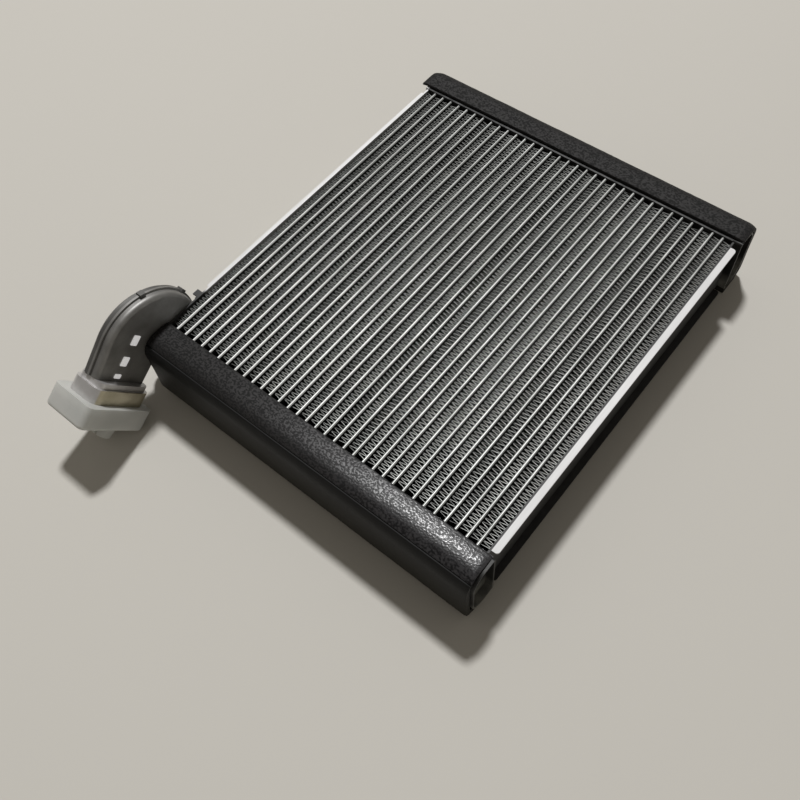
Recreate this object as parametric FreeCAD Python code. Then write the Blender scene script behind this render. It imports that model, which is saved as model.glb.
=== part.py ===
import FreeCAD, Part
import math
import os

# Automotive evaporator core, lying flat on the foam of its two tanks. Lengths are in millimetres.
# X runs along the tanks, Y along the tubes from the near tank to the far one, Z up.
# The origin is on the resting plane, under the middle of the near tank.

# Tubes and fins
TUBE_COUNT = 33
TUBE_PITCH = 6.35
TUBE_THICKNESS = 1.4
TUBE_WIDTH = 17.8
NOSE_BEVEL = 0.5
ROW_GAP = 2.4
HEADER_SPACING = 229.4
TUBE_INSERTION = 1.5
FIN_SHEET = 0.1
FIN_RECESS = 0.5
# The real strip folds every 1.3 mm; the folds here are about seven times wider apart.
FIN_LEGS = 26

# Side plates
SIDE_SHEET = 1.0
SIDE_LIP = 3.7
LEFT_LIP = 1.3
LIP_END_RADIUS = 2.6
RIGHT_LIP_START = 2.4
LEFT_LIP_START = 31.2
LIP_STOP = 4.2
CLINCH_LENGTH = 4.0
CLINCH_DROP = 5.0
CLINCH_START = 22.4

# Tanks
TANK_DEPTH = 17.0
TANK_HEIGHT = 39.4
HEADER_SHEET = 1.5
HEADER_SKIRT = 5.0
COVER_SHEET = 1.2
END_SHEET = 1.0
END_CORNER = 9.4
SKIRT_CORNER = 1.4
RIGHT_END_RIM = 4.4
FAR_LEFT_END_RIM = 1.2
BAFFLE_SHEET = 1.5

# Foam on the tanks
FOAM_TOP = 2.0
FOAM_FRONT = 3.6
FOAM_BOTTOM = 5.2
FOAM_TOP_RADIUS = 10.5
FOAM_BOTTOM_RADIUS = 7.0
FOAM_NEAR_LIP = 0.3
FOAM_FAR_LIP = -1.6
FOAM_SEAM_DROP = 2.6
FOAM_SEAM_GAP = 0.2
FOAM_LEFT_INSET = 0.2
FOAM_RIGHT_OVERHANG = 2.8

# Pressed pipe manifold: two passages side by side in one upright plane
PIPE_SHEET = 1.3
PIPE_DOME = 4.6
DOME_ROUND = 2.6
PIPE_FLANGE = 1.2
ARCH_SETBACK = 5.0
ARCH_RISE = 12.0
ARCH_RADIUS = 33.0
WEB_RADIUS = 8.8
WEB_WIDTH = 4.8
RUN_PITCH = 34.0
RUN_LENGTH = 23.4
RUN_TAPER = 2.6
INNER_PASSAGE = 14.4
POCKET_HALF_HEIGHT = 8.2
POCKET_REACH = 7.4
POCKET_CORNER = 6.0
HEEL_RADIUS = 12.0
WINDOW_LENGTH = 5.2
WINDOW_WIDTH = 4.2
WINDOW_CORNER = 0.4
WINDOW_STATIONS = (0.6, 13.6, 23.2)
TAB_WIDTH = 4.6
TAB_SHEET = 0.4
TAB_CORNER = 0.5
TAB_SPANS = ((-5.0, 1.0), (8.2, 13.8), (18.9, 21.5))
CLAW_LENGTH = 3.4
CLAW_SHEET = 1.0
CLAW_REACH = 1.1
CLAW_ANGLES = (74.0, 24.0)
LIQUID_PORT_RADIUS = 3.0
SUCTION_PORT_RADIUS = 5.5
COLLAR_WALL = 0.8
COLLAR_PROUD = 1.2

# Joint block, its O-rings and the protective cap
BLOCK_MARGIN = 1.3
BLOCK_WIDTH = 21.0
BLOCK_CORNER = 6.0
BLOCK_THICKNESS = 13.0
BOSS_HEIGHT = 3.4
BOSS_INSET = 1.8
BLOCK_OFFSET = 1.5
SUCTION_TUBE_RADIUS = 7.9
LIQUID_TUBE_RADIUS = 4.75
SPIGOT_LENGTH = 5.0
SPIGOT_WALL = 1.6
BOLT_HOLE_RADIUS = 2.5
BOLT_HOLE_DEPTH = 10.0
O_RING_SECTION = 1.8
O_RING_GROOVE = 0.9
CAP_WALL = 1.8
CAP_PROUD = 4.5
CAP_END_PROUD = 3.7
CAP_SHIFT = 1.1
CAP_DEPTH = 13.6
CAP_GRIP = 4.6
CAP_CORNER = 4.0
CAP_EDGE = 2.0
CAP_BOSS_RADIUS = 6.4
CAP_BOSS_HEIGHT = 9.5
CAP_BOSS_OFFSET = 3.4
CAP_BOSS_PLACE = 3.0
CAP_BOSS_TAPER = 1.2
CAP_SLIT_WIDTH = 1.6
CAP_SLIT_DEPTH = 3.0

# Clearances
FIT = 0.1
SEAT = 0.05

# Places worked out from the sizes
bay_width = TUBE_PITCH - TUBE_THICKNESS
core_depth = 2 * TUBE_WIDTH + ROW_GAP
first_tube = -TUBE_PITCH * (TUBE_COUNT - 1) / 2
web_inner = -first_tube + TUBE_THICKNESS / 2 + bay_width
core_end = web_inner + SIDE_SHEET
tank_end = core_end - END_SHEET
middle_z = FOAM_BOTTOM + TANK_HEIGHT / 2
core_bottom = middle_z - core_depth / 2
core_top = middle_z + core_depth / 2
tank_bottom = FOAM_BOTTOM
tank_top = FOAM_BOTTOM + TANK_HEIGHT
near_face = TANK_DEPTH / 2
far_face = near_face + HEADER_SPACING
lobe_width = TANK_HEIGHT / 2 - HEADER_SHEET
lobe_radius = lobe_width / 2
lobe_centres = (middle_z - lobe_radius, middle_z + lobe_radius)
neck_width = 2 * (lobe_radius - COVER_SHEET - FIT)
foam_left = -core_end + FOAM_LEFT_INSET
foam_right = core_end + FOAM_RIGHT_OVERHANG

pipe_face = -core_end - FIT
dome_foot = pipe_face - PIPE_DOME
parting = dome_foot - PIPE_SHEET
arch_y = -ARCH_SETBACK
arch_z = middle_z + ARCH_RISE
web_inside = WEB_RADIUS - WEB_WIDTH / 2
web_outside = WEB_RADIUS + WEB_WIDTH / 2
inner_passage_far = web_inside - INNER_PASSAGE
outer_passage_far = ARCH_RADIUS - RUN_TAPER
block_middle = (inner_passage_far + outer_passage_far) / 2
block_length = outer_passage_far - inner_passage_far + 2 * BLOCK_MARGIN
block_start = RUN_LENGTH + SEAT
boss_end = block_start + BOSS_HEIGHT
block_end = boss_end + BLOCK_THICKNESS
cap_open = block_end - CAP_GRIP
cap_end = cap_open + CAP_DEPTH
suction_axis = (web_outside + outer_passage_far) / 2
liquid_axis = (web_inside + inner_passage_far) / 2


def vector(x, y, z):
    return FreeCAD.Vector(x, y, z)


def block(x0, x1, y0, y1, z0, z1):
    """A box between two corners."""
    return Part.makeBox(x1 - x0, y1 - y0, z1 - z0, vector(x0, y0, z0))


def rounded_wire(corners, place):
    """A closed wire through corners (a, b, radius), each rounded by a tangent arc."""
    count = len(corners)
    starts = []
    ends = []
    middles = []
    for index in range(count):
        a, b, radius = corners[index]
        before = corners[index - 1]
        after = corners[(index + 1) % count]
        into = math.atan2(b - before[1], a - before[0])
        out = math.atan2(after[1] - b, after[0] - a)
        turn = (out - into + math.pi) % (2 * math.pi) - math.pi
        reach = radius * math.tan(abs(turn) / 2)
        starts.append((a - reach * math.cos(into), b - reach * math.sin(into)))
        ends.append((a + reach * math.cos(out), b + reach * math.sin(out)))
        half = into + turn / 2
        side = math.copysign(1, turn)
        inward = half + side * math.pi / 2
        depth = radius / math.cos(turn / 2) - radius
        middles.append((a + depth * math.cos(inward), b + depth * math.sin(inward)))
    edges = []
    for index in range(count):
        if corners[index][2] > 0:
            points = [place(*p) for p in (starts[index], middles[index], ends[index])]
            edges.append(Part.Arc(*points).toShape())
        begin = place(*ends[index])
        stop = place(*starts[(index + 1) % count])
        if begin.distanceToPoint(stop) > 1e-6:
            edges.append(Part.makeLine(begin, stop))
    return Part.Wire(edges)


def along_x(corners, x0, x1):
    """A rounded outline in the YZ plane, drawn out from x0 to x1."""
    wire = rounded_wire(corners, lambda y, z: vector(x0, y, z))
    return Part.Face(wire).extrude(vector(x1 - x0, 0, 0))


def run_point(s, q):
    """Y and Z of a point of the pipe's straight run: s down the run, q across it."""
    pitch = math.radians(RUN_PITCH)
    y = arch_y - s * math.cos(pitch) - q * math.sin(pitch)
    z = arch_z - s * math.sin(pitch) + q * math.cos(pitch)
    return y, z


def run_place(v, q, s):
    """A point of the joint block's frame: v across the plates, q along it, s down the run."""
    y, z = run_point(s, q)
    return vector(parting + v, y, z)


def run_direction():
    pitch = math.radians(RUN_PITCH)
    return vector(0, -math.cos(pitch), -math.sin(pitch))


def along_run(corners, s0, s1):
    """A rounded outline across the run, drawn out from s0 to s1."""
    wire = rounded_wire(corners, lambda v, q: run_place(v, q, s0))
    return Part.Face(wire).extrude(run_direction() * (s1 - s0))


def run_cylinder(radius, q, s0, s1):
    return Part.makeCylinder(radius, s1 - s0, run_place(0, q, s0), run_direction())


# Tubes and fins

def tube_centres():
    return [first_tube + TUBE_PITCH * index for index in range(TUBE_COUNT)]


def flat_bar(x, z0):
    """The full width of a tube between the tanks, with its two noses bevelled."""
    z1 = z0 + TUBE_WIDTH
    half = TUBE_THICKNESS / 2
    tip = half - NOSE_BEVEL
    outline = [
        (x - tip, z0),
        (x + tip, z0),
        (x + half, z0 + NOSE_BEVEL),
        (x + half, z1 - NOSE_BEVEL),
        (x + tip, z1),
        (x - tip, z1),
        (x - half, z1 - NOSE_BEVEL),
        (x - half, z0 + NOSE_BEVEL),
    ]
    points = [vector(a, near_face, b) for a, b in outline]
    wire = Part.makePolygon(points + points[:1])
    return Part.Face(wire).extrude(vector(0, HEADER_SPACING, 0))


def flat_tube(x, z0, neck_middle):
    """One extruded flat tube; its ends are cut narrower where they enter the tanks."""
    reach = HEADER_SHEET + TUBE_INSERTION
    half = TUBE_THICKNESS / 2 - SEAT
    tall = neck_width / 2
    neck = block(x - half, x + half, near_face - reach, far_face + reach, neck_middle - tall, neck_middle + tall)
    return flat_bar(x, z0).fuse(neck)


def tube_row(z0, neck_middle):
    return Part.makeCompound([flat_tube(x, z0, neck_middle) for x in tube_centres()])


def fin_strip(x0):
    """One corrugated strip that fills the bay from x0, folded back and forth along Y."""
    half = FIN_SHEET / 2
    sides = (x0 + half, x0 + bay_width - half)
    step = (HEADER_SPACING - 2 * SEAT) / FIN_LEGS
    folds = [(sides[k % 2], near_face + SEAT + k * step) for k in range(FIN_LEGS + 1)]
    z = core_bottom + FIN_RECESS
    left = [vector(x - half, y, z) for x, y in folds]
    right = [vector(x + half, y, z) for x, y in reversed(folds)]
    wire = Part.makePolygon(left + right + left[:1])
    return Part.Face(wire).extrude(vector(0, 0, core_depth - 2 * FIN_RECESS))


def corrugated_fins():
    bays = [-web_inner] + [x + TUBE_THICKNESS / 2 for x in tube_centres()]
    return Part.makeCompound([fin_strip(x) for x in bays])


# Side plates

def side_lip(z0, start, stop, reach):
    """One lip of a side plate on the right, with round corners at both ends."""
    radius = min(LIP_END_RADIUS, reach / 2)
    corners = [
        (core_end - SIDE_SHEET, start, 0),
        (core_end + reach, start, radius),
        (core_end + reach, stop, radius),
        (core_end - SIDE_SHEET, stop, 0),
    ]
    wire = rounded_wire(corners, lambda x, y: vector(x, y, z0))
    return Part.Face(wire).extrude(vector(0, 0, SIDE_SHEET))


def side_channel(lip_start, reach):
    """A channel with its lips outward, drawn on the right."""
    web = block(web_inner, core_end, near_face, far_face, core_bottom, core_top)
    start = near_face + lip_start
    stop = far_face - LIP_STOP
    lower = side_lip(core_bottom, start, stop, reach)
    upper = side_lip(core_top - SIDE_SHEET, start, stop, reach)
    return web.fuse([lower, upper]).removeSplitter()


def right_side_plate():
    return side_channel(RIGHT_LIP_START, SIDE_LIP)


def left_side_plate():
    """The mirrored channel; short tabs take the place of the lip beside the pipe."""
    plate = side_channel(LEFT_LIP_START, LEFT_LIP).mirror(vector(0, 0, 0), vector(1, 0, 0))
    tabs = []
    y0 = near_face + CLINCH_START
    y1 = y0 + CLINCH_LENGTH
    for z in (core_bottom, core_top - CLINCH_DROP):
        tab = block(-core_end - SIDE_LIP, -core_end, y0, y1, z, z + CLINCH_DROP)
        hollow = block(-core_end - SIDE_LIP, -core_end - SIDE_SHEET, y0, y1,
                       z + SIDE_SHEET, z + CLINCH_DROP - SIDE_SHEET)
        tabs.append(tab.cut(hollow))
    return plate.fuse(tabs).removeSplitter()


# Tanks. Each is drawn in w, the distance from its header plate's face away from the core.

def tank_y(near, w):
    return near_face - w if near else far_face + w


def tank_prism(near, corners, x0, x1):
    return along_x([(tank_y(near, w), z, radius) for w, z, radius in corners], x0, x1)


def tank_block(near, x0, x1, w0, w1, z0, z1):
    ys = sorted((tank_y(near, w0), tank_y(near, w1)))
    return block(x0, x1, ys[0], ys[1], z0, z1)


def header_plate(near):
    """A slotted plate whose two long edges fold back along the tank."""
    pan = tank_block(near, -tank_end, tank_end, 0, HEADER_SKIRT, tank_bottom, tank_top)
    hollow = tank_block(near, -tank_end, tank_end, HEADER_SHEET, HEADER_SKIRT,
                        tank_bottom + HEADER_SHEET, tank_top - HEADER_SHEET)
    slots = []
    half = TUBE_THICKNESS / 2
    tall = neck_width / 2 + SEAT
    for x in tube_centres():
        for z in lobe_centres:
            slots.append(tank_block(near, x - half, x + half, -FIT, HEADER_SHEET + FIT, z - tall, z + tall))
    return pan.cut(hollow).cut(slots)


def lobe(near, centre, inset, x0, x1):
    """The room of one chamber, or with no inset its outer form."""
    reach = lobe_radius - inset
    foot = HEADER_SHEET
    tip = TANK_DEPTH - inset
    corners = [
        (foot, centre - reach, 0),
        (tip, centre - reach, reach),
        (tip, centre + reach, reach),
        (foot, centre + reach, 0),
    ]
    return tank_prism(near, corners, x0, x1)


def tank_cover(near):
    """A pressed sheet with one round lobe over each row of tubes."""
    outer = [lobe(near, z, 0, -tank_end, tank_end) for z in lobe_centres]
    rooms = [lobe(near, z, COVER_SHEET, -tank_end, tank_end) for z in lobe_centres]
    return outer[0].fuse(outer[1]).cut(rooms).removeSplitter()


def end_outline(inset):
    """The tank's end seen along X, rounded where the foam goes round it."""
    return [
        (inset, tank_bottom + inset, SKIRT_CORNER),
        (TANK_DEPTH - inset, tank_bottom + inset, END_CORNER - inset),
        (TANK_DEPTH - inset, tank_top - inset, END_CORNER - inset),
        (inset, tank_top - inset, SKIRT_CORNER),
    ]


def end_cap(near, left, rim):
    """A pressed tray that closes the tank; its rim stands outward."""
    side = -1 if left else 1
    seat = side * tank_end
    cap = tank_prism(near, end_outline(0), seat, seat + side * (END_SHEET + rim))
    if rim > 0:
        floor = seat + side * END_SHEET
        cap = cap.cut(tank_prism(near, end_outline(END_SHEET), floor, floor + side * (rim + FIT)))
    return cap


def port_places():
    """Y and Z of the two ports: each joins a chamber of the near tank to its passage."""
    chamber_y = tank_y(True, (HEADER_SHEET + TANK_DEPTH - COVER_SHEET) / 2)
    passage_y, passage_z = run_point(0, liquid_axis)
    liquid = ((chamber_y + passage_y) / 2, (lobe_centres[1] + passage_z) / 2)
    suction = (chamber_y, lobe_centres[0])
    return {"liquid": (liquid, LIQUID_PORT_RADIUS), "suction": (suction, SUCTION_PORT_RADIUS)}


def port_cylinder(name, grow, x0, x1):
    (y, z), radius = port_places()[name]
    return Part.makeCylinder(radius + grow, x1 - x0, vector(x0, y, z), vector(1, 0, 0))


def port_holes(x0, x1):
    return [port_cylinder(name, SEAT, x0, x1) for name in port_places()]


def ported_end_cap():
    """The flat end of the near tank that the manifold's two collars pass through."""
    return end_cap(True, True, 0).cut(port_holes(-core_end - FIT, -tank_end + FIT))


def port_collar(name):
    """A short brazed sleeve from the tank's end into the manifold."""
    x0 = pipe_face - PIPE_SHEET - COLLAR_PROUD
    x1 = -tank_end + COLLAR_PROUD
    sleeve = port_cylinder(name, 0, x0, x1)
    return sleeve.cut(port_cylinder(name, -COLLAR_WALL, x0 - FIT, x1 + FIT))


def baffle(centre):
    """A plate across one chamber of the near tank, between two tubes near its middle."""
    half = BAFFLE_SHEET / 2
    middle = TUBE_PITCH / 2
    return lobe(True, centre, COVER_SHEET + SEAT, middle - half, middle + half)


# Foam. One section wraps each tank and is parted along the seam.

def foam_section(near, lip):
    outer = [
        (-lip, 0, 0),
        (TANK_DEPTH + FOAM_FRONT, 0, FOAM_BOTTOM_RADIUS),
        (TANK_DEPTH + FOAM_FRONT, tank_top + FOAM_TOP, FOAM_TOP_RADIUS),
        (-lip, tank_top + FOAM_TOP, 0),
    ]
    room = [
        (-lip - FIT, tank_bottom - FIT, 0),
        (TANK_DEPTH + FIT, tank_bottom - FIT, FOAM_BOTTOM_RADIUS - FOAM_FRONT),
        (TANK_DEPTH + FIT, tank_top + FIT, FOAM_TOP_RADIUS - FOAM_FRONT),
        (-lip - FIT, tank_top + FIT, 0),
    ]
    section = tank_prism(near, outer, foam_left, foam_right)
    return section.cut(tank_prism(near, room, foam_left - FIT, foam_right + FIT))


def foam_half(near, upper):
    lip = FOAM_NEAR_LIP if near else FOAM_FAR_LIP
    seam = tank_top + FOAM_TOP - FOAM_SEAM_DROP
    reach = TANK_DEPTH + FOAM_FRONT + FIT
    low, high = (seam, tank_top + FOAM_TOP + FIT) if upper else (-FIT, seam - FOAM_SEAM_GAP)
    slab = tank_block(near, foam_left - FIT, foam_right + FIT, -lip - FIT, reach, low, high)
    return foam_section(near, lip).common(slab)


# Pressed manifold

def outer_passage(grow, extra):
    """Outline of the long passage: pocket at the lower port, arch, and run to the block."""
    radius = ARCH_RADIUS + grow
    end_s = RUN_LENGTH
    end_q = outer_passage_far + grow
    lean = math.atan2(end_s, end_q) - math.acos(radius / math.hypot(end_s, end_q))
    half_turn = (math.pi / 2 + math.radians(RUN_PITCH) + lean) / 2
    peak = (arch_y + radius, arch_z + radius * math.tan(half_turn))
    end = run_point(end_s, end_q)
    stretch = extra / math.dist(peak, end)
    tip = (end[0] + (end[0] - peak[0]) * stretch, end[1] + (end[1] - peak[1]) * stretch)
    web = web_outside - grow
    web_turn = (math.pi / 2 + math.radians(RUN_PITCH)) / 2
    web_peak = (arch_y + web, arch_z + web * math.tan(web_turn))
    web_tip = run_point(RUN_LENGTH + extra, web)
    low = lobe_centres[0] - POCKET_HALF_HEIGHT - grow
    high = lobe_centres[0] + POCKET_HALF_HEIGHT + grow
    back = -POCKET_REACH - grow
    corner = POCKET_CORNER + grow
    return [
        (tip[0], tip[1], 0),
        (web_tip[0], web_tip[1], 0),
        (web_peak[0], web_peak[1], web),
        (arch_y + web, high, POCKET_CORNER / 2 - grow),
        (back, high, corner),
        (back, low, corner),
        (arch_y + radius, low, HEEL_RADIUS + grow),
        (peak[0], peak[1], radius),
    ]


def inner_passage(grow, extra):
    """Outline of the short passage: a round end over the upper port, and run to the block."""
    near_q = web_inside + grow
    far_q = inner_passage_far - grow
    radius = (near_q - far_q) / 2
    corners = [
        (RUN_LENGTH + extra, near_q, 0),
        (-radius, near_q, radius),
        (-radius, far_q, radius),
        (RUN_LENGTH + extra, far_q, 0),
    ]
    return [run_point(s, q) + (radius,) for s, q, radius in corners]


def web_fill(spread):
    """Outline of the strip between the passages, widened by spread on both sides."""
    inside = web_inside - spread
    outside = web_outside + spread
    half_turn = (math.pi / 2 + math.radians(RUN_PITCH)) / 2
    floor = lobe_centres[0] + POCKET_HALF_HEIGHT - spread
    tips = [run_point(RUN_LENGTH, q) for q in (inside, outside)]
    return [
        tips[0] + (0,),
        run_point(0, inside) + (0,),
        (arch_y, floor, 0),
        (arch_y + outside, floor, 0),
        (arch_y + outside, arch_z + outside * math.tan(half_turn), outside),
        tips[1] + (0,),
    ]


def dome(outline, inset, height, edge, towards):
    """A pressed dome on the flange; the long passage's rim is rounded on the core's side."""
    foot = parting + towards * PIPE_SHEET * (1 if inset == 0 else 0)
    body = along_x(outline(-inset, 0 if inset == 0 else FIT), foot, foot + towards * height)
    top = foot + towards * height
    rim = [e for e in body.Edges if abs(e.BoundBox.XMin - top) < 1e-4 and abs(e.BoundBox.XMax - top) < 1e-4]
    rim = [e for e in rim if end_distance(e) > 2 * FIT]
    if outline is outer_passage and inset == 0 and towards > 0:
        return body.makeFillet(edge, rim)
    return body.makeChamfer(edge, rim)


def end_distance(edge):
    """How far an edge's middle lies from the mouth of the run."""
    middle = edge.CenterOfMass
    pitch = math.radians(RUN_PITCH)
    s = (arch_y - middle.y) * math.cos(pitch) + (arch_z - middle.z) * math.sin(pitch)
    return abs(s - RUN_LENGTH)


def window_cutters():
    cutters = []
    q0 = WEB_RADIUS - WINDOW_WIDTH / 2
    q1 = WEB_RADIUS + WINDOW_WIDTH / 2
    for station in WINDOW_STATIONS:
        s0 = station - WINDOW_LENGTH / 2
        s1 = station + WINDOW_LENGTH / 2
        corners = [(s0, q0), (s1, q0), (s1, q1), (s0, q1)]
        outline = [run_point(s, q) + (WINDOW_CORNER,) for s, q in corners]
        cutters.append(along_x(outline, parting - PIPE_SHEET - FIT, parting + FIT))
    return cutters


def pressed_form(towards):
    """Outer form of half the manifold: flange and the domes of both passages."""
    face = parting + towards * PIPE_SHEET
    outlines = [outer_passage(PIPE_FLANGE, 0), inner_passage(PIPE_FLANGE, 0), web_fill(SEAT)]
    plates = [along_x(outline, parting, face) for outline in outlines]
    domes = [dome(outline, 0, PIPE_DOME, DOME_ROUND, towards) for outline in (outer_passage, inner_passage)]
    return plates[0].fuse(plates[1:] + domes)


def passage_rooms(towards):
    inside = DOME_ROUND - PIPE_SHEET / 2
    return [dome(outline, PIPE_SHEET, PIPE_DOME, inside, towards) for outline in (outer_passage, inner_passage)]


def face_tabs():
    """Three bright tabs on the long passage's face, along its inner edge."""
    q0 = web_outside + DOME_ROUND + FIT
    q1 = q0 + TAB_WIDTH
    tabs = []
    for s0, s1 in TAB_SPANS:
        corners = [(s0, q0), (s1, q0), (s1, q1), (s0, q1)]
        outline = [run_point(s, q) + (TAB_CORNER,) for s, q in corners]
        tabs.append(along_x(outline, pipe_face, pipe_face + TAB_SHEET))
    return Part.makeCompound(tabs)


def claw(y, z, angle):
    """A tab of the outer shell that folds over the inner shell's flange."""
    near_x = parting - PIPE_SHEET
    far_x = parting + PIPE_SHEET + SEAT + CLAW_SHEET
    half = CLAW_LENGTH / 2
    strap = block(near_x, far_x, SEAT, SEAT + CLAW_SHEET, -half, half)
    hook = block(far_x - CLAW_SHEET, far_x, SEAT - CLAW_REACH + FIT, SEAT + CLAW_SHEET, -half, half)
    root = block(near_x, parting - SEAT, -CLAW_REACH, SEAT + CLAW_SHEET, -half, half)
    shape = strap.fuse([hook, root])
    shape.rotate(vector(0, 0, 0), vector(1, 0, 0), angle)
    shape.translate(vector(0, y, z))
    return shape


def claws():
    """Tabs round the arch and down the back of the root."""
    shapes = []
    reach = ARCH_RADIUS + PIPE_FLANGE
    for angle in CLAW_ANGLES:
        turn = math.radians(angle)
        shapes.append(claw(arch_y + reach * math.cos(turn), arch_z + reach * math.sin(turn), angle))
    for z in (lobe_centres[0] + CLAW_LENGTH, arch_z - CLAW_LENGTH):
        shapes.append(claw(arch_y + reach, z, 0))
    return shapes


def pipe_inner_shell():
    """The half towards the core: its face runs flush over the web, which is hollow behind."""
    bridge = along_x(web_fill(DOME_ROUND), parting, pipe_face)
    hollow = along_x(web_fill(0), parting - FIT, pipe_face - PIPE_SHEET)
    for outline in (outer_passage, inner_passage):
        hollow = hollow.cut(along_x(outline(0, FIT), parting - 2 * FIT, pipe_face))
    shell = pressed_form(1).fuse(bridge).cut(passage_rooms(1) + [hollow])
    return shell.cut(port_holes(dome_foot - FIT, pipe_face + FIT)).removeSplitter()


def pipe_outer_shell():
    """The half away from the core, with windows that drain the web and claws that hold the seam."""
    shell = pressed_form(-1).cut(passage_rooms(-1) + window_cutters())
    return shell.fuse(claws()).removeSplitter()


# Joint block, O-rings and cap

def oblong(length, width, corner, s0, s1, middle=block_middle):
    v0 = BLOCK_OFFSET - width / 2
    v1 = BLOCK_OFFSET + width / 2
    q0 = middle - length / 2
    q1 = middle + length / 2
    corners = [(v0, q0, corner), (v1, q0, corner), (v1, q1, corner), (v0, q1, corner)]
    return along_run(corners, s0, s1)


def joint_block():
    """Machined block: boss for the passages above, two tube ends with grooves below."""
    inset = 2 * BOSS_INSET
    boss = oblong(block_length - inset, BLOCK_WIDTH - inset, BLOCK_CORNER - BOSS_INSET,
                  block_start, boss_end)
    shape = oblong(block_length, BLOCK_WIDTH, BLOCK_CORNER, boss_end, block_end).fuse(boss)
    for radius, q in ((SUCTION_TUBE_RADIUS, suction_axis), (LIQUID_TUBE_RADIUS, liquid_axis)):
        shape = shape.fuse(run_cylinder(radius, q, block_end, block_end + SPIGOT_LENGTH))
    for radius, q in ((SUCTION_TUBE_RADIUS, suction_axis), (LIQUID_TUBE_RADIUS, liquid_axis)):
        bore = run_cylinder(radius - SPIGOT_WALL, q, block_start - FIT, block_end + SPIGOT_LENGTH + FIT)
        shape = shape.cut(bore)
        shape = shape.cut(groove(radius, q))
    hole = run_cylinder(BOLT_HOLE_RADIUS, WEB_RADIUS, block_end - BOLT_HOLE_DEPTH, block_end + FIT)
    return shape.cut(hole).removeSplitter()


def groove_station():
    return block_end + SPIGOT_LENGTH / 2


def groove(radius, q):
    """The turned groove that holds an O-ring on a tube end."""
    half = O_RING_SECTION / 2 + SEAT
    s0 = groove_station() - half
    s1 = groove_station() + half
    return run_cylinder(radius + FIT, q, s0, s1).cut(run_cylinder(radius - O_RING_GROOVE, q, s0, s1))


def o_ring(radius, q):
    """A ring of eight-sided section, turned about the tube end's axis."""
    centre = run_place(0, q, groove_station())
    out = O_RING_SECTION / 2
    middle = radius - O_RING_GROOVE + SEAT + out
    spokes = [math.radians(22.5 + 45 * k) for k in range(8)]
    points = [centre + vector(middle + out * math.cos(a), 0, 0) + run_direction() * (out * math.sin(a))
              for a in spokes]
    section = Part.Face(Part.makePolygon(points + points[:1]))
    return section.revolve(centre, run_direction(), 360)


def protective_cap():
    """Moulded cap: a box with a lip round the block and a slit boss to pull it off by."""
    length = block_length + 2 * CAP_END_PROUD
    width = BLOCK_WIDTH + 2 * CAP_PROUD
    middle = block_middle + CAP_SHIFT
    shape = oblong(length, width, CAP_CORNER, cap_open, cap_end, middle)
    last = run_place(0, block_middle, cap_end)
    rim = [e for e in shape.Edges if far_along_run(e, last)]
    shape = shape.makeFillet(CAP_EDGE, rim)
    boss = Part.makeCone(CAP_BOSS_RADIUS, CAP_BOSS_RADIUS - CAP_BOSS_TAPER, CAP_BOSS_HEIGHT + CAP_WALL,
                         run_place(CAP_BOSS_OFFSET, CAP_BOSS_PLACE, cap_end - CAP_WALL), run_direction())
    shape = shape.fuse(boss)
    room = oblong(length - 2 * CAP_WALL, width - 2 * CAP_WALL, CAP_CORNER - CAP_WALL,
                  cap_open + CAP_WALL, cap_end - CAP_WALL, middle)
    mouth = oblong(block_length + 2 * FIT, BLOCK_WIDTH + 2 * FIT, BLOCK_CORNER + FIT,
                   cap_open - FIT, cap_open + CAP_WALL + FIT)
    tip = cap_end + CAP_BOSS_HEIGHT
    half = CAP_SLIT_WIDTH / 2
    q0 = CAP_BOSS_PLACE - CAP_BOSS_RADIUS
    q1 = CAP_BOSS_PLACE + CAP_BOSS_RADIUS
    sides = (CAP_BOSS_OFFSET - half, CAP_BOSS_OFFSET + half)
    corners = [(sides[0], q0, 0), (sides[1], q0, 0), (sides[1], q1, 0), (sides[0], q1, 0)]
    slit = along_run(corners, tip - CAP_SLIT_DEPTH, tip + FIT)
    return shape.cut([room, mouth, slit])


def far_along_run(edge, last):
    """Whether an edge lies wholly in the plane through last, across the run."""
    direction = run_direction()
    return all(abs((vertex.Point - last).dot(direction)) < 1e-4 for vertex in edge.Vertexes)


def pieces():
    return {
        "upper_row_tubes": tube_row(core_top - TUBE_WIDTH, lobe_centres[1]),
        "lower_row_tubes": tube_row(core_bottom, lobe_centres[0]),
        "corrugated_fins": corrugated_fins(),
        "left_side_plate": left_side_plate(),
        "right_side_plate": right_side_plate(),
        "near_header_plate": header_plate(True),
        "near_tank_cover": tank_cover(True),
        "near_tank_ported_end": ported_end_cap(),
        "near_tank_right_end": end_cap(True, False, RIGHT_END_RIM),
        "near_tank_lower_baffle": baffle(lobe_centres[0]),
        "near_tank_upper_baffle": baffle(lobe_centres[1]),
        "far_header_plate": header_plate(False),
        "far_tank_cover": tank_cover(False),
        "far_tank_left_end": end_cap(False, True, FAR_LEFT_END_RIM),
        "far_tank_right_end": end_cap(False, False, RIGHT_END_RIM),
        "near_foam_upper": foam_half(True, True),
        "near_foam_lower": foam_half(True, False),
        "far_foam_upper": foam_half(False, True),
        "far_foam_lower": foam_half(False, False),
        "pipe_inner_shell": pipe_inner_shell(),
        "pipe_outer_shell": pipe_outer_shell(),
        "pipe_face_tabs": face_tabs(),
        "liquid_port_collar": port_collar("liquid"),
        "suction_port_collar": port_collar("suction"),
        "joint_block": joint_block(),
        "suction_o_ring": o_ring(SUCTION_TUBE_RADIUS, suction_axis),
        "liquid_o_ring": o_ring(LIQUID_TUBE_RADIUS, liquid_axis),
        "protective_cap": protective_cap(),
    }


os.makedirs("parts", exist_ok=True)
for name, shape in pieces().items():
    shape.exportStep(f"parts/{name}.step")
    print(name, "solids", len(shape.Solids), "valid", shape.isValid(), "volume", round(shape.Volume, 1))
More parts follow.
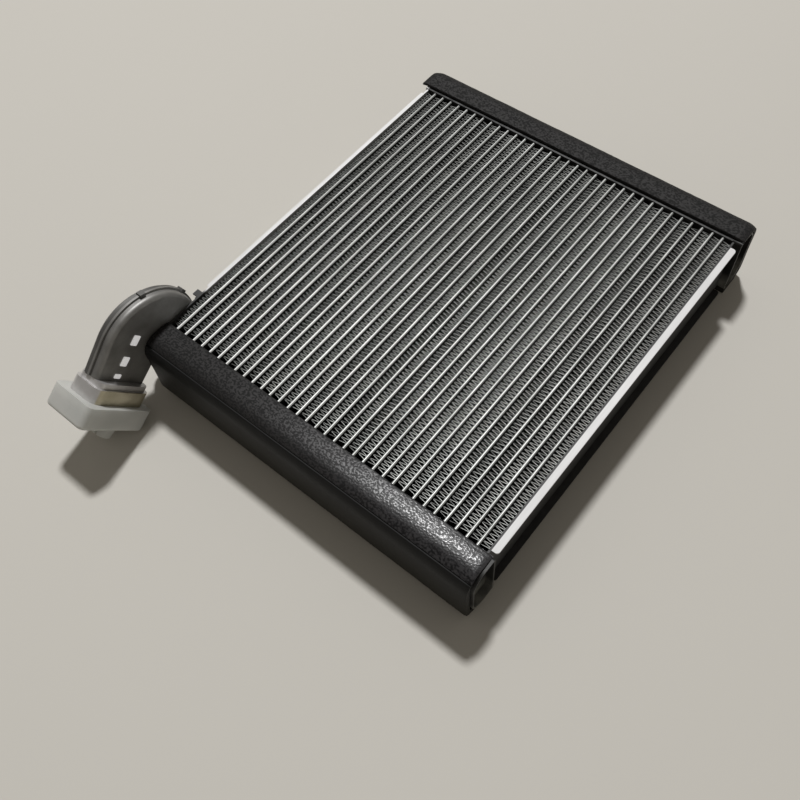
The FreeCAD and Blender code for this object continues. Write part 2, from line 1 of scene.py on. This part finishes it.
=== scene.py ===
import bpy
import math
import random
from mathutils import Matrix, Vector, noise

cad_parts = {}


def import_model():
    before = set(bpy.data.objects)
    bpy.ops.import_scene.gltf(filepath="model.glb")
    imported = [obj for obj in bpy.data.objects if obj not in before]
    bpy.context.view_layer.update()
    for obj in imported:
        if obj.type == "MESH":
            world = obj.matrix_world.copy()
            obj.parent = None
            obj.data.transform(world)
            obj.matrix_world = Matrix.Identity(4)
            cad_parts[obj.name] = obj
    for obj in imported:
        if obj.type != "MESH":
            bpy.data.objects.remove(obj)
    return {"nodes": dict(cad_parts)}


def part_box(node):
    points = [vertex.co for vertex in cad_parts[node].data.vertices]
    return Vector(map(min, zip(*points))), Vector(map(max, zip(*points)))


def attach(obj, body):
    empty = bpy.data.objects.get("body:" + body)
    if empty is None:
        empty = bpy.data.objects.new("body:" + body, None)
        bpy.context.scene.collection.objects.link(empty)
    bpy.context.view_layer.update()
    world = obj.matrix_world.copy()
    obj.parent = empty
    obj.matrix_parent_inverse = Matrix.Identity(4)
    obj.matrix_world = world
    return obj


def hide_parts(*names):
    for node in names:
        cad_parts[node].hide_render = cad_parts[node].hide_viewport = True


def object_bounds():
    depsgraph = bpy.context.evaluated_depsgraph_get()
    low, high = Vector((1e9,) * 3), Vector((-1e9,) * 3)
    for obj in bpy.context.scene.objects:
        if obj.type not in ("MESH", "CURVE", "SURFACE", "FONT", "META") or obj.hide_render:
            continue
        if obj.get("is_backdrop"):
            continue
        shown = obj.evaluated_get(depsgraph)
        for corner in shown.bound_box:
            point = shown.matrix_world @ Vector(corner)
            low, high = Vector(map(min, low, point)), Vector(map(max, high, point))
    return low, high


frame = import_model()
cad_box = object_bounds()

MM = 0.001
RIGHT = (1, 0, 0)
AHEAD = (0, 1, 0)
UP = (0, 0, 1)
chance = random.Random(7)

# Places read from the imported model
core_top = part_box("upper_row_tubes")[1].z
core_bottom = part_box("lower_row_tubes")[0].z
core_middle = (core_top + core_bottom) / 2
near_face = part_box("near_header_plate")[1].y
far_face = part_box("far_header_plate")[0].y
tube_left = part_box("upper_row_tubes")[0].x
tube_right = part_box("upper_row_tubes")[1].x

# Tubes and fin strips: a crest runs along a tube, and every other leg lies deeper by the sag
TUBES = 33
TUBE_THICKNESS = 1.4 * MM
TUBE_PITCH = (tube_right - tube_left - TUBE_THICKNESS) / (TUBES - 1)
FIN_PITCH = 1.2 * MM
FIN_CREST = 0.35 * MM
FIN_THICKNESS = 0.2 * MM
FIN_START = 2.6 * MM
FIN_STOP = 0.3 * MM
FIN_DROP = 1.8 * MM
FIN_SAG = 0.2 * MM
FIN_SIDE_GAP = 0.06 * MM

# Foam: leans are in degrees, and the tank's middle is (w, z) as in the foam's section
TANK_MIDDLE = (9 * MM, 24 * MM)
TOP_CORNER = 10.5 * MM
BOTTOM_CORNER = 7 * MM
FOAM_FIT = 0.1 * MM
CROWN_LEAN = 8.0
CROWN_REAR_LEAN = 10.0
CROWN_STEPS = 20
WRAP_STEPS = 180
FAR_LEFT_REACH = 5.2 * MM
FAR_RIGHT_REACH = 1.6 * MM
FAR_SWELL_UP = 0.4 * MM
FAR_SWELL_OUT = 0.8 * MM


# Finishes

class Sum:
    """A socket in a finish; sums written with it add Math nodes."""

    def __init__(self, finish, socket):
        self.finish = finish
        self.socket = socket

    def math(self, operation, *values):
        return self.finish.node("ShaderNodeMath", {"operation": operation}, dict(enumerate(values)))

    def __add__(self, other):
        return self.math("ADD", self, other)

    __radd__ = __add__

    def __mul__(self, other):
        return self.math("MULTIPLY", self, other)

    __rmul__ = __mul__

    def __sub__(self, other):
        return self.math("SUBTRACT", self, other)

    def __rsub__(self, other):
        return self.math("SUBTRACT", other, self)

    def above(self, edge, width):
        """0 below the edge, 1 above it, with a soft step of that width."""
        settings = {"interpolation_type": "SMOOTHSTEP"}
        inputs = {"Value": self, "From Min": edge - width / 2, "From Max": edge + width / 2}
        return self.finish.node("ShaderNodeMapRange", settings, inputs)


class Finish:
    """A material in the making."""

    def __init__(self, name):
        self.material = bpy.data.materials.new(name)
        self.material.use_nodes = True
        self.tree = self.material.node_tree
        self.tree.nodes.clear()
        self.place = self.node("ShaderNodeTexCoord", output="Object")

    def node(self, kind, settings=None, inputs=None, output=0):
        """Adds a node: its settings first, then the values or links of its sockets."""
        made = self.tree.nodes.new(kind)
        for name, value in (settings or {}).items():
            if name == "stops":
                self.set_stops(made.color_ramp, value)
            else:
                setattr(made, name, value)
        for name, value in (inputs or {}).items():
            if isinstance(value, Sum):
                self.tree.links.new(value.socket, made.inputs[name])
            else:
                made.inputs[name].default_value = value
        if made.outputs:
            return Sum(self, made.outputs[output])

    def set_stops(self, ramp, stops):
        """Sets a ramp's two ends, each a position and a colour."""
        for element, (position, colour) in zip(ramp.elements, stops):
            element.position = position
            element.color = (*colour, 1)

    def grain(self, size, detail=3.0, stretch=(1, 1, 1), seed=0.0):
        """Noise whose grains are about that many metres across."""
        placing = {"Vector": self.place, "Scale": stretch, "Location": (seed, seed, seed)}
        scaled = self.node("ShaderNodeMapping", {}, placing)
        inputs = {"Vector": scaled, "Scale": 1 / size, "Detail": detail}
        return self.node("ShaderNodeTexNoise", {}, inputs)

    def place_along(self, direction):
        """How far the place lies along a direction, in metres."""
        return self.node("ShaderNodeVectorMath", {"operation": "DOT_PRODUCT"},
                         {0: self.place, 1: direction}, "Value")

    def near_a_face(self, depth, width):
        """1 at the core's two faces, 0 deeper in than that depth."""
        height = self.place_along(UP) - core_middle
        return height.math("ABSOLUTE", height).above((core_top - core_bottom) / 2 - depth, width)

    def shades(self, factor, stops):
        return self.node("ShaderNodeValToRGB", {"stops": stops}, {"Fac": factor})

    def blend(self, factor, one, two):
        return self.node("ShaderNodeMix", {"data_type": "RGBA"}, {"Factor": factor, 6: one, 7: two}, 2)

    def bump(self, height, depth, strength=1.0):
        inputs = {"Height": height, "Distance": depth, "Strength": strength}
        return self.node("ShaderNodeBump", {}, inputs)

    def surface(self, **inputs):
        named = {name.replace("_", " "): value for name, value in inputs.items()}
        return self.node("ShaderNodeBsdfPrincipled", {}, named)

    def done(self, shader):
        self.node("ShaderNodeOutputMaterial", {}, {"Surface": shader})
        return self.material


def grey(value):
    return (value, value, value)


def tube_finish():
    """Bright extruded aluminium with draw lines, with a painted highlight that is brightest at the near
    left, and painted shade that makes it dark in the depth.
    """
    f = Finish("bright_tube")
    lines = f.grain(0.0004, stretch=(1, 0.02, 1))
    # Painted highlight: the noses are made paler towards the near left, where the lamp's reflection is
    # strongest.
    left = 1 - f.place_along(RIGHT).above(-20 * MM, 180 * MM)
    near = 1 - f.place_along(AHEAD).above(90 * MM, 140 * MM)
    nose_painted_highlight = f.shades(0.5 * f.grain(0.02) + near * (0.05 + 0.45 * left),
                    [(0.15, (0.35, 0.36, 0.35)), (0.85, (0.97, 0.98, 0.97))])
    # Painted shade: below the noses the tubes' sides are coloured near black.
    colour = f.blend(f.near_a_face(0.8 * MM, 0.5 * MM), (0.05, 0.052, 0.05, 1), nose_painted_highlight)
    return f.done(f.surface(Base_Color=colour, Metallic=0.6, Roughness=0.42 + 0.2 * lines,
                            Normal=f.bump(lines, 0.00003)))


def fin_finish():
    """Thin strip: grey cut edges at the top, painted shade that dims each bay's left side beside the
    tube, and painted shade that makes it black in the depth.
    """
    f = Finish("fin_strip")
    cloud = f.grain(0.012, seed=3.0)
    speck = f.grain(0.0008)
    edge = f.shades(cloud, [(0.3, (0.33, 0.34, 0.33)), (0.7, (0.46, 0.47, 0.45))])
    # Painted shade: deeper down the strip is coloured near black.
    depth = f.shades(speck, [(0.3, grey(0.003)), (0.7, (0.012, 0.013, 0.012))])
    # Painted shade: each bay is dimmer towards its left side, where the tube shades it.
    bays = (f.place_along(RIGHT) - tube_left - TUBE_THICKNESS) * (1 / TUBE_PITCH)
    clear_of_painted_tube_shade = bays.math("FRACT", bays).above(0.3, 0.9)
    # Only the strip's top keeps the lit grey and the metal's shine; the rest is painted shade.
    bright = f.near_a_face(FIN_DROP + 0.32 * MM, 0.22 * MM)
    colour = f.blend(bright * (0.4 + 0.6 * clear_of_painted_tube_shade), depth, edge)
    return f.done(f.surface(Base_Color=colour, Metallic=0.5 * bright, Roughness=0.38 + 0.25 * speck,
                            Normal=f.bump(speck, 0.00004)))


def plate_finish():
    """Rolled side plate: bright, with lines along its length, and painted shade darkening its end
    beside the pipe.
    """
    f = Finish("side_plate")
    lines = f.grain(0.0005, stretch=(1, 0.03, 1), seed=1.0)
    cloud = f.grain(0.03)
    bright = f.shades(cloud, [(0.3, grey(0.55)), (0.7, grey(0.61))])
    # Painted shade: the plate's end beside the pipe is coloured near black.
    painted_pipe_shade = f.shades(cloud, [(0.3, grey(0.04)), (0.7, grey(0.08))])
    away = f.place_along(AHEAD).above(near_face + 28 * MM, 4 * MM)
    return f.done(f.surface(Base_Color=f.blend(away, painted_pipe_shade, bright), Metallic=0.6,
                            Roughness=0.54 + 0.16 * lines, Normal=f.bump(lines, 0.00003)))


def shaded_channel_plate_finish():
    """The same plate with its channel coloured black as painted shade; only the upper lip shows lit
    metal.
    """
    f = Finish("side_plate_channel_in_painted_shade")
    lines = f.grain(0.0005, stretch=(1, 0.03, 1), seed=1.0)
    metal = f.shades(f.grain(0.03), [(0.3, grey(0.58)), (0.7, grey(0.64))])
    # Painted shade: the channel below the upper lip is coloured near black for the shade inside it.
    strip = f.shades(f.grain(0.004), [(0.3, grey(0.012)), (0.7, grey(0.026))])
    inner_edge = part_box("right_side_plate")[0].x + 1.1 * MM
    upper_lip = f.place_along(UP).above(core_top - 0.9 * MM, 0.3 * MM)
    lit_lip = upper_lip * f.place_along(RIGHT).above(inner_edge, 0.2 * MM)
    return f.done(f.surface(Base_Color=f.blend(lit_lip, strip, metal), Metallic=0.6 * lit_lip,
                            Roughness=0.5 + 0.14 * lit_lip + 0.1 * lines, Normal=f.bump(lines, 0.00003)))


def tank_finish(name, low, high):
    """Brazed sheet: dull grey with flux clouds."""
    f = Finish(name)
    cloud = f.grain(0.006, seed=2.0)
    colour = f.shades(cloud, [(0.35, grey(low)), (0.65, grey(high))])
    return f.done(f.surface(Base_Color=colour, Metallic=0.8, Roughness=0.35 + 0.2 * cloud,
                            Normal=f.bump(f.grain(0.0006), 0.00005)))


def shaded_sheet_finish():
    """Tank sheet in painted shade, near black, with a painted reflection of the lit floor making it
    grey low down.
    """
    f = Finish("sheet_in_painted_shade")
    cloud = f.grain(0.006, seed=2.5)
    # Painted shade: above the lowest part the sheet is coloured near black.
    painted_shade_colour = f.shades(cloud, [(0.35, grey(0.008)), (0.65, (0.018, 0.018, 0.017))])
    # Painted reflection: low down the sheet is coloured grey for the lit floor it mirrors.
    painted_sheen = f.shades(cloud, [(0.35, (0.12, 0.12, 0.11)), (0.65, (0.2, 0.2, 0.18))])
    colour = f.blend(f.place_along(UP).above(15 * MM, 9 * MM), painted_sheen, painted_shade_colour)
    return f.done(f.surface(Base_Color=colour, Metallic=0.3, Roughness=0.4 + 0.15 * cloud,
                            Normal=f.bump(f.grain(0.0006), 0.00005)))


def pipe_finish(name, low, high):
    """Satin pressed sheet, brushed softly by the brazing, between two greys."""
    f = Finish(name)
    fine = f.grain(0.0005, seed=4.0)
    colour = f.shades(f.grain(0.009, seed=5.0), [(0.3, (low, 0.985 * low, 0.955 * low)),
                                                 (0.7, (high, 0.985 * high, 0.955 * high))])
    return f.done(f.surface(Base_Color=colour, Metallic=0.75, Roughness=0.46 + 0.1 * fine,
                            Normal=f.bump(fine, 0.00004)))


def tab_finish():
    """Bare bright tab, with a little glow for the lit floor that it mirrors."""
    f = Finish("bare_tab")
    fine = f.grain(0.0008, seed=7.0)
    colour = f.shades(fine, [(0.3, (0.80, 0.79, 0.79)), (0.7, (0.90, 0.89, 0.89))])
    return f.done(f.surface(Base_Color=colour, Metallic=0.2, Roughness=0.4 + 0.1 * fine,
                            Emission_Color=colour, Emission_Strength=0.4))


def block_finish():
    """Machined block: pale at the end, with a painted reflection colouring its right side olive."""
    f = Finish("machined_block")
    lines = f.grain(0.0003, stretch=(0.05, 1, 1), seed=6.0)
    cloud = f.grain(0.008)
    pale = f.shades(cloud, [(0.3, (0.58, 0.57, 0.57)), (0.7, (0.72, 0.71, 0.71))])
    # Painted reflection: the right side is coloured olive for what it mirrors.
    painted_olive_reflection = f.shades(cloud, [(0.3, (0.42, 0.38, 0.27)), (0.7, (0.60, 0.55, 0.42))])
    side = f.place_along(RIGHT).above(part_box("joint_block")[1].x - 1.0 * MM, 0.8 * MM)
    return f.done(f.surface(Base_Color=f.blend(side, pale, painted_olive_reflection), Metallic=0.7,
                            Roughness=0.3 + 0.15 * lines, Normal=f.bump(lines, 0.00003)))


def rubber_finish():
    f = Finish("seal_rubber")
    colour = f.shades(f.grain(0.002), [(0.3, (0.02, 0.06, 0.04)), (0.7, (0.03, 0.08, 0.05))])
    return f.done(f.surface(Base_Color=colour, Roughness=0.5 + 0.2 * f.grain(0.001)))


def cap_finish():
    """Milky moulded plastic that lets some light through."""
    f = Finish("milky_cap")
    colour = f.shades(f.grain(0.012, seed=8.0), [(0.3, (0.62, 0.63, 0.61)), (0.7, (0.72, 0.72, 0.70))])
    skin = f.surface(Base_Color=colour, Roughness=0.42 + 0.1 * f.grain(0.002),
                     Normal=f.bump(f.grain(0.001), 0.00004))
    through = f.node("ShaderNodeBsdfTranslucent", {}, {"Color": (0.9, 0.9, 0.87, 1)})
    return f.done(f.node("ShaderNodeMixShader", {}, {"Fac": 0.4, 1: skin, 2: through}))


def grained_foam_finish(name, shine):
    """Closed-cell foam with a leathery skin; shine scales a painted sheen and a smoother skin at its
    right end.
    """
    f = Finish(name)
    grains = f.grain(0.001, detail=1.0, stretch=(0.8, 1, 1))
    ridges = grains.above(0.5, 0.1)
    plain = f.shades(grains, [(0.42, grey(0.003)), (0.58, (0.010, 0.009, 0.009))])
    # Painted sheen: brighter grains at the right end stand for the lamp's highlight there.
    sheen_colour = f.shades(grains, [(0.42, (0.002, 0.002, 0.003)), (0.58, (0.036, 0.035, 0.037))])
    # The same mask also lowers the roughness at the right end.
    painted_sheen = shine * f.place_along(RIGHT).above(15 * MM, 170 * MM)
    roughness = 0.84 - 0.18 * ridges - 0.42 * painted_sheen
    return f.done(f.surface(Base_Color=f.blend(painted_sheen, plain, sheen_colour), Roughness=roughness,
                            Specular_IOR_Level=0.36, Normal=f.bump(grains, 0.00014)))


def smooth_foam_finish():
    """The cut side of the foam: smooth, near black under the seam as painted shade, and a little paler
    towards the floor.
    """
    f = Finish("smooth_foam")
    grains = f.grain(0.0012, seed=11.0)
    cloud = f.grain(0.025, seed=12.0)
    lower = f.shades(cloud, [(0.3, (0.014, 0.013, 0.010)), (0.7, (0.022, 0.021, 0.017))])
    # Painted shade: the upper part, under the seam, is coloured near black.
    upper = f.shades(cloud, [(0.3, grey(0.002)), (0.7, grey(0.004))])
    colour = f.blend(f.place_along(UP).above(24 * MM, 28 * MM), lower, upper)
    return f.done(f.surface(Base_Color=colour, Roughness=0.54 + 0.12 * cloud, Specular_IOR_Level=0.3,
                            Normal=f.bump(grains, 0.00012, 0.6)))


# Mesh work

def mesh_piece(name, points, faces, material, sharp=35.0):
    mesh = bpy.data.meshes.new(name)
    mesh.from_pydata(points, [], faces)
    mesh.materials.append(material)
    mesh.shade_smooth()
    mesh.set_sharp_from_angle(angle=math.radians(sharp))
    piece = bpy.data.objects.new(name, mesh)
    bpy.context.scene.collection.objects.link(piece)
    return piece


def loft(name, rings, material, sharp):
    """A closed skin through rings of as many points each, with flat ends."""
    count = len(rings[0])
    points = [p for ring in rings for p in ring]
    faces = []
    for r in range(len(rings) - 1):
        for k in range(count):
            a = r * count + k
            b = r * count + (k + 1) % count
            faces.append((a, b, b + count, a + count))
    faces.append(tuple(reversed(range(count))))
    faces.append(tuple(range(len(points) - count, len(points))))
    return mesh_piece(name, points, faces, material, sharp)


def settle(piece, node):
    """Hands a piece over to the frame in the place of one solid."""
    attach(piece, "root")
    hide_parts(node)


# Fins

def fin_path(x0, x1):
    """The folded line of one strip seen from above."""
    y = near_face + FIN_START + chance.uniform(-0.4, 0.4) * MM
    end = far_face - FIN_STOP
    left = chance.random() < 0.5
    path = []
    while y < end:
        x = x0 if left else x1
        crest = FIN_CREST * chance.uniform(0.85, 1.15)
        path += [(x, y), (x, y + crest)]
        y += crest + (FIN_PITCH - FIN_CREST) * chance.uniform(0.8, 1.2)
        left = not left
    return path


def fin_strip(points, faces, path, z0, z1):
    """Adds one strip with its two skins and its two edges."""
    half = FIN_THICKNESS / 2
    first = len(points)
    for k, (x, y) in enumerate(path):
        leg = (k + 1) // 2
        sag = FIN_SAG * (leg % 2)
        for z in (z1 - sag, z0 + sag):
            points += [(x, y - half, z), (x, y + half, z)]
    for k in range(len(path) - 1):
        a = first + 4 * k
        b = a + 4
        faces += [(a, b, b + 1, a + 1), (a + 2, a + 3, b + 3, b + 2),
                  (a, a + 2, b + 2, b), (a + 1, b + 1, b + 3, a + 3)]
    last = first + 4 * (len(path) - 1)
    faces += [(first, first + 1, first + 3, first + 2), (last, last + 2, last + 3, last + 1)]


def dense_fins(material):
    """One strip in each bay, folded as closely as the real one."""
    bay = TUBE_PITCH - TUBE_THICKNESS
    points = []
    faces = []
    for k in range(TUBES + 1):
        x0 = tube_left + TUBE_THICKNESS + (k - 1) * TUBE_PITCH
        drop = FIN_DROP + chance.uniform(-0.15, 0.15) * MM
        path = fin_path(x0 + FIN_SIDE_GAP, x0 + bay - FIN_SIDE_GAP)
        fin_strip(points, faces, path, core_bottom + drop, core_top - drop)
    settle(mesh_piece("folded_fins", points, faces, material), "corrugated_fins")


# Foam. Its section is drawn in (w, z), with w the distance from the header plate away from the core.

def arc(cw, cz, radius, a0, a1, steps):
    """Points of an arc between two angles in degrees."""
    for k in range(steps + 1):
        a = math.radians(a0 + (a1 - a0) * k / steps)
        yield cw + radius * math.cos(a), cz + radius * math.sin(a)


def crown(w, z, lip, lean, rear_lean):
    """The top from (w, z) to the lip: it rises by the first lean and falls by the second."""
    step = (w + lip) / CROWN_STEPS
    for k in range(CROWN_STEPS):
        w -= step
        turn = (lean + rear_lean) * math.sin(math.pi * (k + 0.5) / (2 * CROWN_STEPS))
        z += step * math.tan(math.radians(lean - turn))
        yield w, z


def upper_profile(reach, seam, top, lip, thick, front, leans):
    """The upper foam's outer skin from seam to lip, and its inner one from lip to seam."""
    cw = reach - TOP_CORNER
    cz = top - 0.2 * MM - TOP_CORNER
    start = math.degrees(math.asin((seam - cz) / TOP_CORNER))
    outer = list(arc(cw, cz, TOP_CORNER, start, 90 - leans[0], 16))
    outer += list(crown(*outer[-1], lip, *leans))
    z = outer[-1][1]
    outer[-1] = (-lip + 0.3 * MM, z)
    outer += [(-lip, z - 0.4 * MM), (-lip, top - thick + 0.1 * MM)]
    inner = [(cw + (-lip - cw) * k / 6, top - thick) for k in range(6, 0, -1)]
    inner += reversed(list(arc(cw, top - TOP_CORNER, TOP_CORNER - front, start, 90, 10)))
    return outer, inner


def lower_profile(reach, seam, lip, thick, front, top):
    """The lower foam: a bead under the seam, the front, the bottom corner and the floor."""
    cw = reach - TOP_CORNER
    cz = top - TOP_CORNER
    start = math.degrees(math.asin((seam - cz) / TOP_CORNER))

    def on_corner(depth, angle):
        turn = math.radians(angle)
        radius = TOP_CORNER - depth
        return cw + radius * math.cos(turn), cz + radius * math.sin(turn)

    corner_w = reach - BOTTOM_CORNER
    bore = max(BOTTOM_CORNER - front, 0)
    outer = [on_corner(0.9 * MM, start), on_corner(0.35 * MM, start - 0.6), on_corner(0.0, start - 2.6)]
    outer += arc(cw, cz, TOP_CORNER, start - 5, 0, 10)
    outer += [(reach, cz + (BOTTOM_CORNER - cz) * k / 8) for k in range(1, 8)]
    outer += arc(corner_w, BOTTOM_CORNER, BOTTOM_CORNER, 0, -90, 10)
    outer += [(corner_w + (-lip - reach + BOTTOM_CORNER) * k / 5, 0.0) for k in range(1, 5)]
    outer += [(-lip, 0.2 * MM), (-lip, thick - 0.1 * MM)]
    inner = [(corner_w, thick)]
    inner += arc(corner_w, thick + bore, bore, -90, 0, 4)
    inner += [(reach - front, cz), on_corner(front, start / 2), on_corner(front, start)]
    return outer, inner


def dent(x, w, z):
    """How far the skin lies in at a place: a slow wander and a fine one, as cut foam has."""
    slow = noise.noise(Vector((x * 60, w * 90, z * 90)))
    fine = noise.noise(Vector((x * 350, w * 300 + 9, z * 300)))
    return 0.12 * MM * (1 + slow) + 0.1 * MM * (1 + fine)


def end_tuck(steps_in, near):
    """How far the skin is drawn in at that many steps from an end of the wrap."""
    depth, steps = (0.5 * MM, 2) if near else (1.3 * MM, 4)
    return depth * max(0.0, 1 - steps_in / steps) ** 2


def drawn_in(w, z, depth):
    """A point of the section moved towards the tank's middle, unless it rests on the floor."""
    place = Vector((w, z))
    if z <= 0.3 * MM:
        return place
    away = place - Vector(TANK_MIDDLE)
    return place - away.normalized() * depth


def foam_wrap(name, profile, near, x0, x1, material):
    """The profile drawn along the tank, with its ends tucked in a little."""
    outer, inner = profile
    rings = []
    for r in range(WRAP_STEPS + 1):
        x = x0 + (x1 - x0) * r / WRAP_STEPS
        tuck = end_tuck(min(r, WRAP_STEPS - r), near)
        section = [drawn_in(w, z, dent(x, w, z) + tuck) for w, z in outer]
        section += [Vector(place) for place in inner]
        rings.append([(x, near_face - w if near else far_face + w, z) for w, z in section])
    return loft(name, rings, material, 50.0)


def foam_pair(near, upper_material, lower_material):
    """Both halves of the foam round one tank, in the place of their solids."""
    side = "near" if near else "far"
    upper_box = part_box(f"{side}_foam_upper")
    lower_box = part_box(f"{side}_foam_lower")
    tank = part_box(f"{side}_tank_cover")
    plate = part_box(f"{side}_header_plate")
    top = upper_box[1].z
    thick = top - plate[1].z - FOAM_FIT
    x0 = upper_box[0].x
    x1 = upper_box[1].x
    if near:
        reach = near_face - lower_box[0].y
        lip = lower_box[1].y - near_face
        front = reach - (near_face - tank[0].y) - FOAM_FIT
        leans = (CROWN_LEAN, CROWN_REAR_LEAN)
    else:
        reach = lower_box[1].y - far_face
        lip = far_face - lower_box[0].y
        front = reach - (tank[1].y - far_face) - FOAM_FIT
        leans = (0.0, 0.0)
        x0 -= FAR_LEFT_REACH
        x1 += FAR_RIGHT_REACH
        top += FAR_SWELL_UP
        reach += FAR_SWELL_OUT
    upper = upper_profile(reach, upper_box[0].z, top, lip, thick, front, leans)
    lower = lower_profile(reach, lower_box[1].z, lip, plate[0].z - FOAM_FIT, front, top)
    for half, profile, material in (("upper", upper, upper_material), ("lower", lower, lower_material)):
        piece = foam_wrap(f"{side}_wrap_{half}", profile, near, x0, x1, material)
        settle(piece, f"{side}_foam_{half}")


# Stage, lights and camera

def floor_finish():
    f = Finish("floor_paper")
    cloud = f.grain(0.5, seed=20.0)
    # Painted shade: the floor is coloured darker far off, where the lamp's pool is brighter.
    nearer = 1 - f.place_along(AHEAD).above(0.15, 0.9)
    colour = f.shades(0.3 * cloud + 0.7 * nearer,
                      [(0.1, (0.525, 0.505, 0.465)), (0.9, (0.60, 0.58, 0.535))])
    return f.done(f.surface(Base_Color=colour, Roughness=0.85 + 0.1 * f.grain(0.01)))


def floor():
    size = 3.0
    corners = [(-size, -size, 0), (size, -size, 0), (size, size, 0), (-size, size, 0)]
    mesh_piece("floor", corners, [(0, 1, 2, 3)], floor_finish())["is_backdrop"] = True


def lamp(name, place, target, size, power):
    light = bpy.data.lights.new(name, "AREA")
    light.shape = "DISK"
    light.size = size
    light.energy = power
    lamp_object = bpy.data.objects.new(name, light)
    lamp_object.location = place
    lamp_object.rotation_euler = (Vector(target) - Vector(place)).to_track_quat("-Z", "Y").to_euler()
    bpy.context.scene.collection.objects.link(lamp_object)


def world():
    sky = bpy.data.worlds.new("studio")
    sky.use_nodes = True
    background = sky.node_tree.nodes["Background"]
    background.inputs["Color"].default_value = (1.0, 0.93, 0.82, 1)
    background.inputs["Strength"].default_value = 0.2
    bpy.context.scene.world = sky


def camera():
    """The photograph's viewpoint: position, aim and lens found from the core's outline."""
    forward = Vector((-0.3605, 0.3603, -0.8604)).normalized()
    up = Vector((-0.5211, 0.6872, 0.5061))
    right = forward.cross(up).normalized()
    up = right.cross(forward)
    eye = Vector((0.1836, -0.1117, core_top + 0.3804))
    data = bpy.data.cameras.new("viewpoint")
    data.sensor_width = 36.0
    data.lens = 39.06
    made = bpy.data.objects.new("viewpoint", data)
    turn = Matrix((right, up, -forward)).transposed()
    made.matrix_world = Matrix.Translation(eye) @ turn.to_4x4()
    bpy.context.scene.collection.objects.link(made)
    bpy.context.scene.camera = made


def dress(nodes, material):
    for name in nodes:
        piece = frame["nodes"][name]
        piece.data.materials.clear()
        piece.data.materials.append(material)


camera()
floor()
world()
lamp("key", (-0.70, 1.14, 2.60), (0.0, 0.11, 0.03), 0.32, 69.0)
bpy.context.scene.view_settings.view_transform = "Standard"

dress(["upper_row_tubes", "lower_row_tubes"], tube_finish())
dress(["left_side_plate"], plate_finish())
dress(["right_side_plate"], shaded_channel_plate_finish())
dress(["near_tank_cover", "near_tank_ported_end", "near_tank_lower_baffle", "near_tank_upper_baffle",
       "far_tank_cover", "far_tank_left_end"], tank_finish("tank_sheet", 0.34, 0.5))
# Painted shade: the far header plate is coloured near black.
dress(["far_header_plate"], tank_finish("far_header_painted_shade", 0.03, 0.07))
dress(["near_header_plate", "near_tank_right_end", "far_tank_right_end"], shaded_sheet_finish())
dress(["pipe_inner_shell", "liquid_port_collar", "suction_port_collar"],
      pipe_finish("pipe_sheet", 0.23, 0.32))
# Painted shade: the outer shell is a darker copy of the same sheet, for the shade along its wall.
dress(["pipe_outer_shell"], pipe_finish("pipe_back_sheet_painted_shade", 0.12, 0.18))
dress(["pipe_face_tabs"], tab_finish())
dress(["joint_block"], block_finish())
dress(["suction_o_ring", "liquid_o_ring"], rubber_finish())
dress(["protective_cap"], cap_finish())
dense_fins(fin_finish())
smooth_foam = smooth_foam_finish()
foam_pair(True, grained_foam_finish("near_grained_foam", 1.0), smooth_foam)
foam_pair(False, grained_foam_finish("far_grained_foam", 0.0), smooth_foam)

[[list(corner) for corner in box] for box in (cad_box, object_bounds())]
